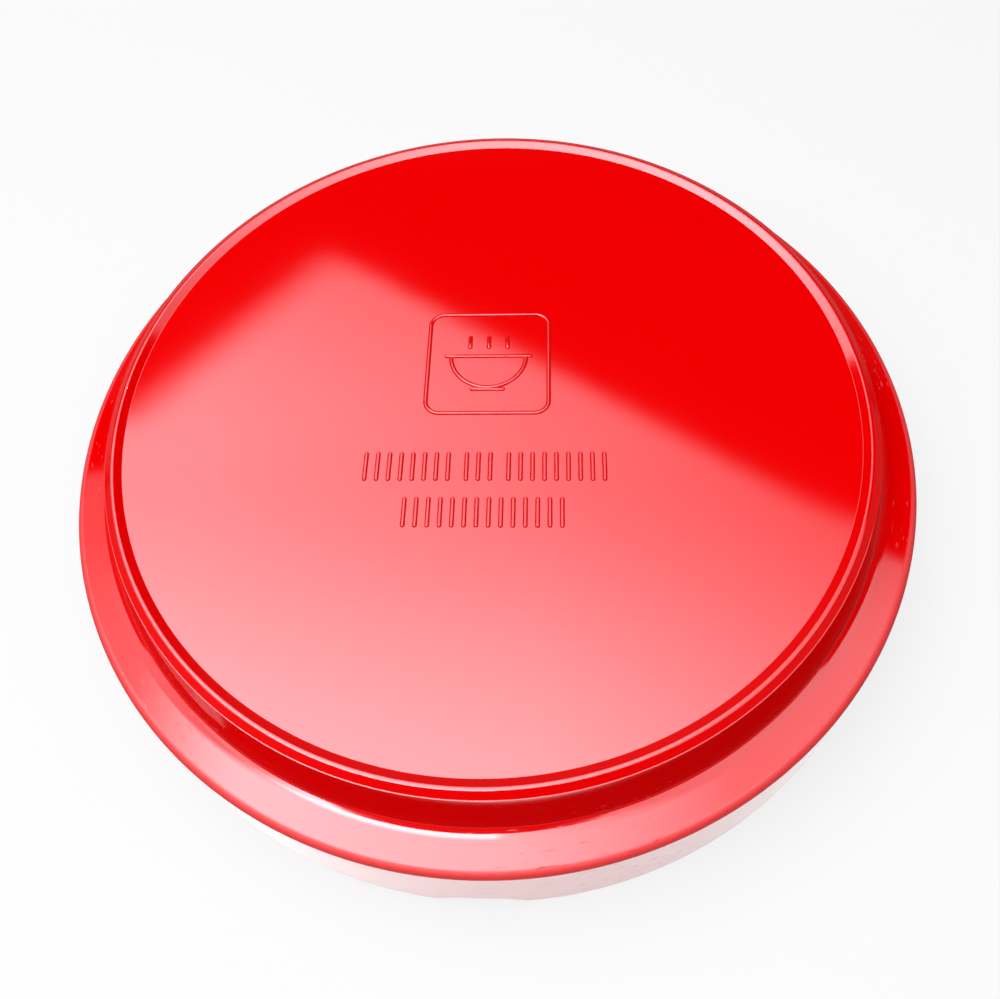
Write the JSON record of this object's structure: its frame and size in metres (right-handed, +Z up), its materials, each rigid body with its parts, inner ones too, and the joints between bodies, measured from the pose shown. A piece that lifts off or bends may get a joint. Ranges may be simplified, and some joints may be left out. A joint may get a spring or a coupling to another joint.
{
  "type": "rice bowl",
  "caption": "Shallow round rice bowl in glossy red melamine, standing mouth down on its rim, with a foot ring, a finger notch and a drop-in lid.",
  "frame": {"origin": "centre of the mouth plane, which the bowl and its lid stand on, mouth down", "axes": "+Z up through the foot ring and the bowl's axis; the moulded mark on the base reads along +X; the finger notch faces -Y"},
  "size_m": [0.1698, 0.1696, 0.0367],
  "materials": {
    "red_melamine": "polished moulded melamine, glossy"
  },
  "bodies": {
    "lid": {"lid": "red_melamine"},
    "bowl": {"bowl": "red_melamine"}
  },
  "joints": [
    {"name": "bowl_lift", "type": "slide", "parent": "lid", "child": "bowl", "axis": [0, 0, 1], "range_m": [0, 0.06]}
  ]
}
